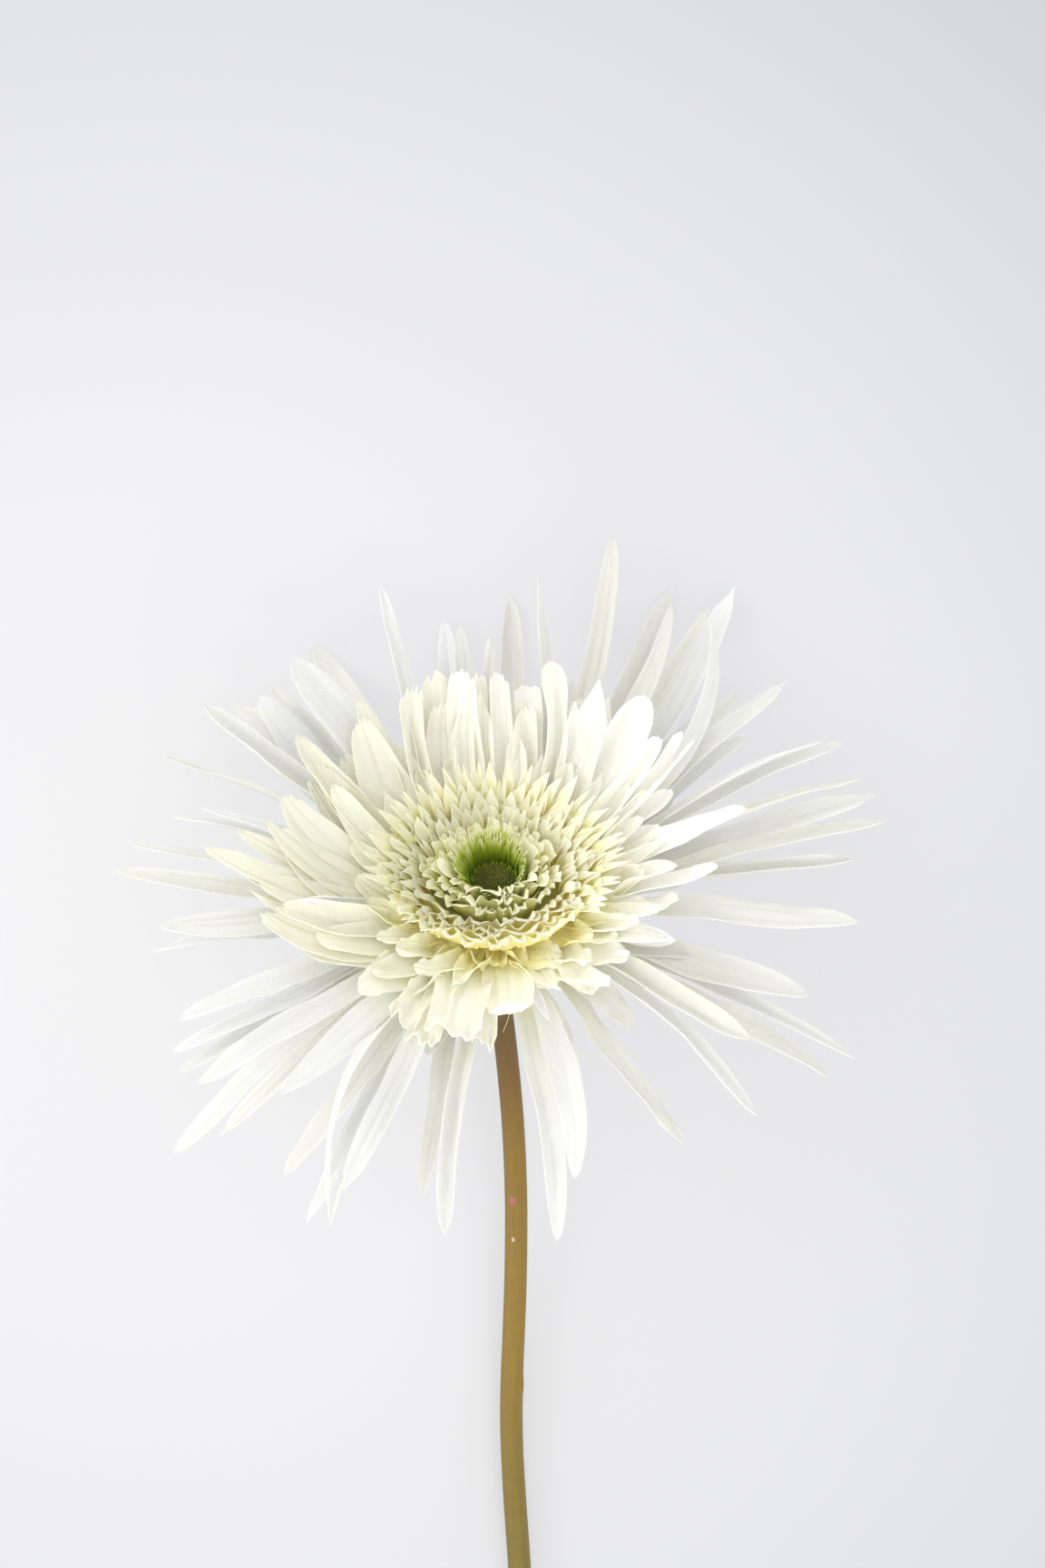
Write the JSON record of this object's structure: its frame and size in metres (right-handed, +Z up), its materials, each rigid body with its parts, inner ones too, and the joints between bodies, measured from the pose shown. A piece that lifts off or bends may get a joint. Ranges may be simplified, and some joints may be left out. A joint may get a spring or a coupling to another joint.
{
  "type": "artificial cut gerbera",
  "caption": "Spider-type gerbera flower of white fabric with a green centre on a long bent cut stem, lying on a surface with its face turned up.",
  "frame": {"origin": "on the surface that the flower lies on, under the middle of its outline", "axes": "+Z up; +Y along the stem from its cut end towards the head; +X to the right of the flower as its face is seen"},
  "size_m": [0.1307, 0.4001, 0.0502],
  "materials": {
    "stem": "satin plastic coat, brown under the head and olive brown lower down",
    "calyx": "matte dark green moulded plastic",
    "receptacle": "matte light green plastic",
    "outer_petal": "thin white woven fabric with pressed lengthwise channels",
    "mid_petal": "cream white woven fabric with pressed channels and frayed tips",
    "inner_petal": "cream woven fabric, yellow towards the root",
    "outer_floret": "pale yellow cream fabric strips with curled tips",
    "inner_floret": "cream fabric strips, yellow green at the base",
    "centre_fringe": "lime green fabric fringe",
    "centre_button": "dark green fuzzy pile"
  },
  "bodies": {
    "root": {"stem": "stem", "calyx": "calyx", "receptacle": "receptacle", "mid_petals_lower": "mid_petal", "mid_petals_upper": "mid_petal", "inner_petals": "inner_petal", "outer_florets": "outer_floret", "inner_florets": "inner_floret", "centre_fringe": "centre_fringe", "centre_button": "centre_button", "outer_petal_01": "outer_petal", "outer_petal_02": "outer_petal", "outer_petal_03": "outer_petal", "outer_petal_04": "outer_petal", "outer_petal_05": "outer_petal", "outer_petal_06": "outer_petal", "outer_petal_07": "outer_petal", "outer_petal_08": "outer_petal", "outer_petal_09": "outer_petal", "outer_petal_10": "outer_petal", "outer_petal_11": "outer_petal", "outer_petal_12": "outer_petal", "outer_petal_13": "outer_petal", "outer_petal_14": "outer_petal", "outer_petal_15": "outer_petal", "outer_petal_16": "outer_petal", "outer_petal_17": "outer_petal", "outer_petal_18": "outer_petal", "outer_petal_19": "outer_petal", "outer_petal_20": "outer_petal", "outer_petal_21": "outer_petal", "outer_petal_22": "outer_petal", "outer_petal_23": "outer_petal", "outer_petal_24": "outer_petal", "outer_petal_25": "outer_petal", "outer_petal_26": "outer_petal", "outer_petal_27": "outer_petal", "outer_petal_28": "outer_petal", "outer_petal_29": "outer_petal", "outer_petal_30": "outer_petal", "outer_petal_31": "outer_petal", "outer_petal_32": "outer_petal", "outer_petal_33": "outer_petal", "outer_petal_34": "outer_petal", "outer_petal_35": "outer_petal", "outer_petal_36": "outer_petal", "outer_petal_37": "outer_petal", "outer_petal_38": "outer_petal", "outer_petal_39": "outer_petal", "outer_petal_40": "outer_petal", "outer_petal_41": "outer_petal", "outer_petal_42": "outer_petal", "outer_petal_43": "outer_petal", "outer_petal_44": "outer_petal", "outer_petal_45": "outer_petal", "outer_petal_46": "outer_petal", "outer_petal_47": "outer_petal", "outer_petal_48": "outer_petal"}
  },
  "joints": []
}
